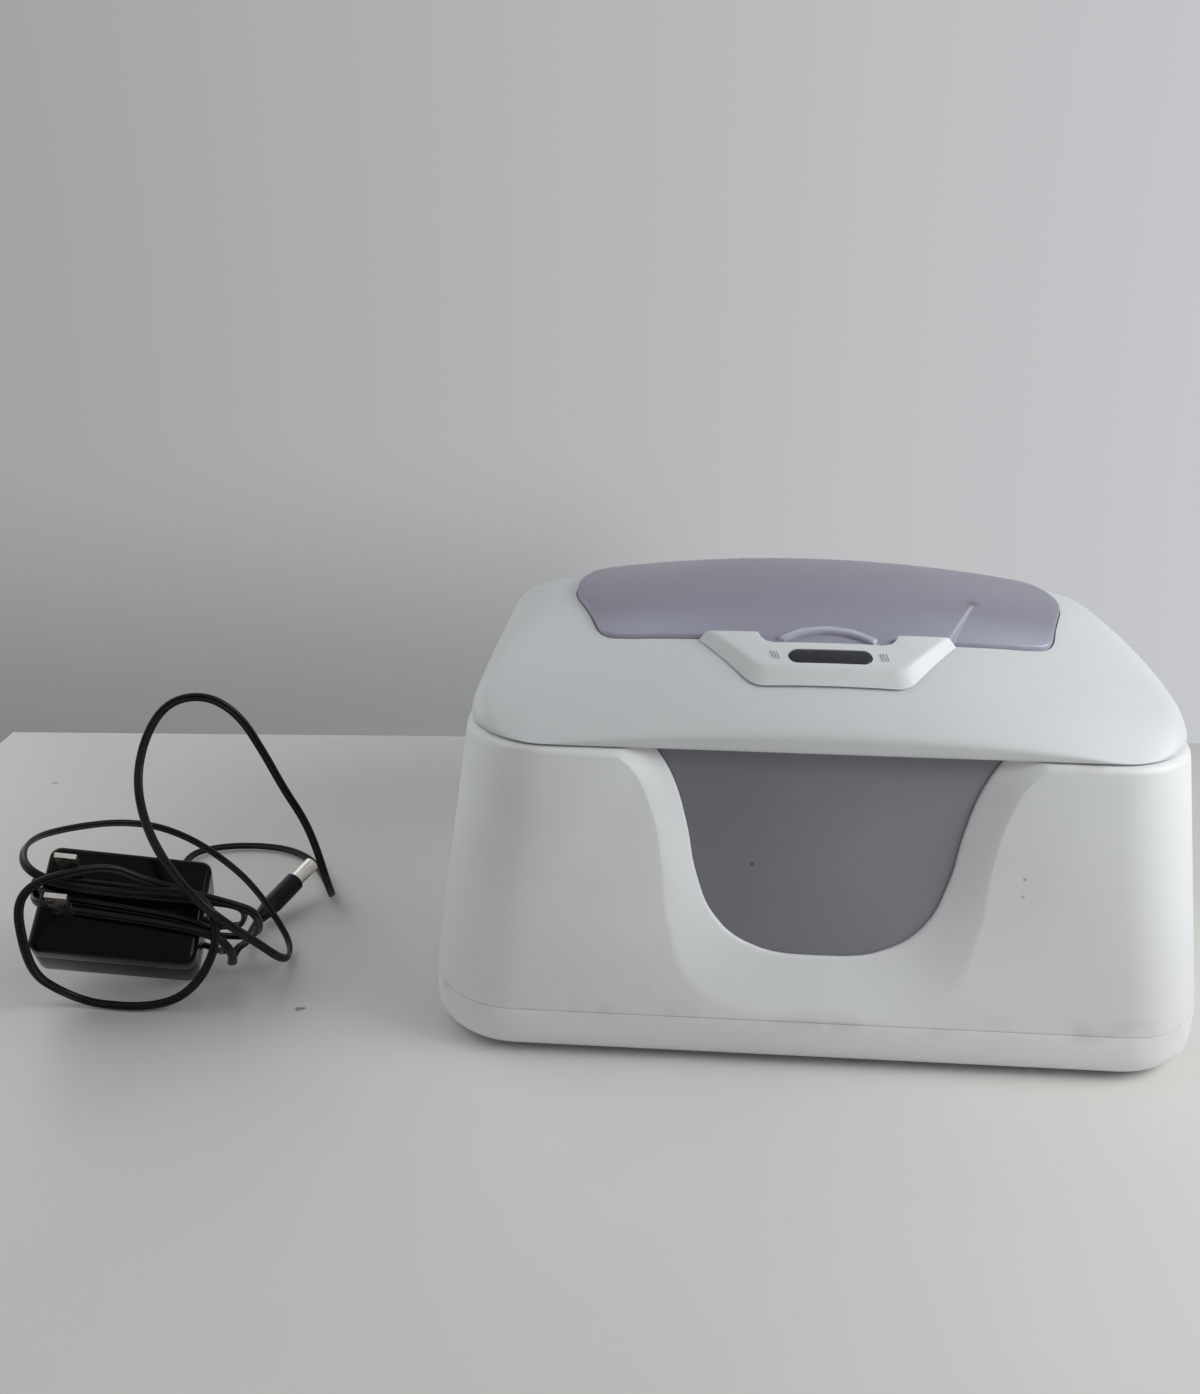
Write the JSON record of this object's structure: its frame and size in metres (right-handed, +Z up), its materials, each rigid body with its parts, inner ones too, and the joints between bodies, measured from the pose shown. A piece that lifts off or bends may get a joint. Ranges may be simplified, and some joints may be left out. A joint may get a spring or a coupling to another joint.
{
  "type": "baby wipe warmer",
  "caption": "Countertop baby wipe warmer with hinged crowned lid, tinted flip cover, night-light button, front window and plug-in power supply on a loose cord.",
  "frame": {"origin": "on the table under the middle of the warmer's base", "axes": "+Z up, the front with the window faces -Y, +X to the right of someone who looks at the front"},
  "size_m": [0.3722, 0.1789, 0.1328],
  "materials": {
    "body_white": "fine satin moulded plastic",
    "lid_white": "fine satin moulded plastic",
    "cover_tint": "smooth translucent smoke-grey plastic",
    "window_tint": "translucent smoke-grey plastic",
    "button_dark": "glossy dark plastic",
    "inner_white": "plain moulded plastic",
    "foot_rubber": "soft rubber",
    "seal_rubber": "soft elastomer",
    "dome_rubber": "silicone",
    "steel": "zinc-plated steel",
    "heat_spreader": "plain sheet",
    "heater_film": "polyimide film",
    "insulation": "felted fibre",
    "circuit_board": "green solder mask",
    "device_black": "moulded plastic",
    "lead_red": "insulated wire",
    "supply_black": "glossy black moulded plastic",
    "cord_black": "semi-gloss flexible insulation",
    "nickel": "nickel-plated brass",
    "insulator_black": "moulded plastic"
  },
  "bodies": {
    "base": {"bottom_cover": "body_white", "rubber_feet": "foot_rubber", "base_screws": "steel", "outer_housing": "body_white", "front_window": "window_tint", "lid_hinge_pins": "steel", "inner_tub": "inner_white", "heat_plate": "heat_spreader", "foil_heater": "heater_film", "insulation_pad": "insulation", "heater_tray": "inner_white", "thermostat": "steel", "thermal_fuse": "steel", "control_board": "circuit_board", "dc_jack": "device_black", "lamp_board": "circuit_board", "heater_leads": "lead_red", "lamp_lead": "lead_red", "supply_front": "supply_black", "supply_back": "supply_black", "supply_prongs": "nickel", "supply_board": "circuit_board", "strain_relief": "cord_black", "cord_winding": "cord_black", "cord_standing_loop": "cord_black", "cord_table_loop": "cord_black", "cord_plug_lead": "cord_black", "plug_boot": "cord_black", "plug_sleeve": "nickel", "plug_insulator": "insulator_black"},
    "lid": {"lid_shell": "lid_white", "lid_liner": "inner_white", "liner_screws": "steel", "lid_gasket": "seal_rubber", "dispensing_seal": "seal_rubber", "button_bezel": "lid_white", "button_dome": "dome_rubber", "switch_board": "circuit_board", "cover_hinge_pins": "steel"},
    "cover": {"flip_cover": "cover_tint"},
    "button": {"light_button": "button_dark"}
  },
  "joints": [
    {"name": "lid_hinge", "type": "hinge", "parent": "base", "child": "lid", "pos_m": [0, 0.0786, 0.0988], "axis": [-1, 0, 0], "range_deg": [0, 95]},
    {"name": "cover_hinge", "type": "hinge", "parent": "lid", "child": "cover", "pos_m": [0, 0.036, 0.12481], "axis": [-1, 0, 0], "range_deg": [0, 95]},
    {"name": "button_press", "type": "slide", "parent": "lid", "child": "button", "axis": [0, 0.4829, -0.8757], "range_m": [0, 0.0012], "stiffness_N_per_m": 900, "deforming": ["button_dome"]}
  ]
}
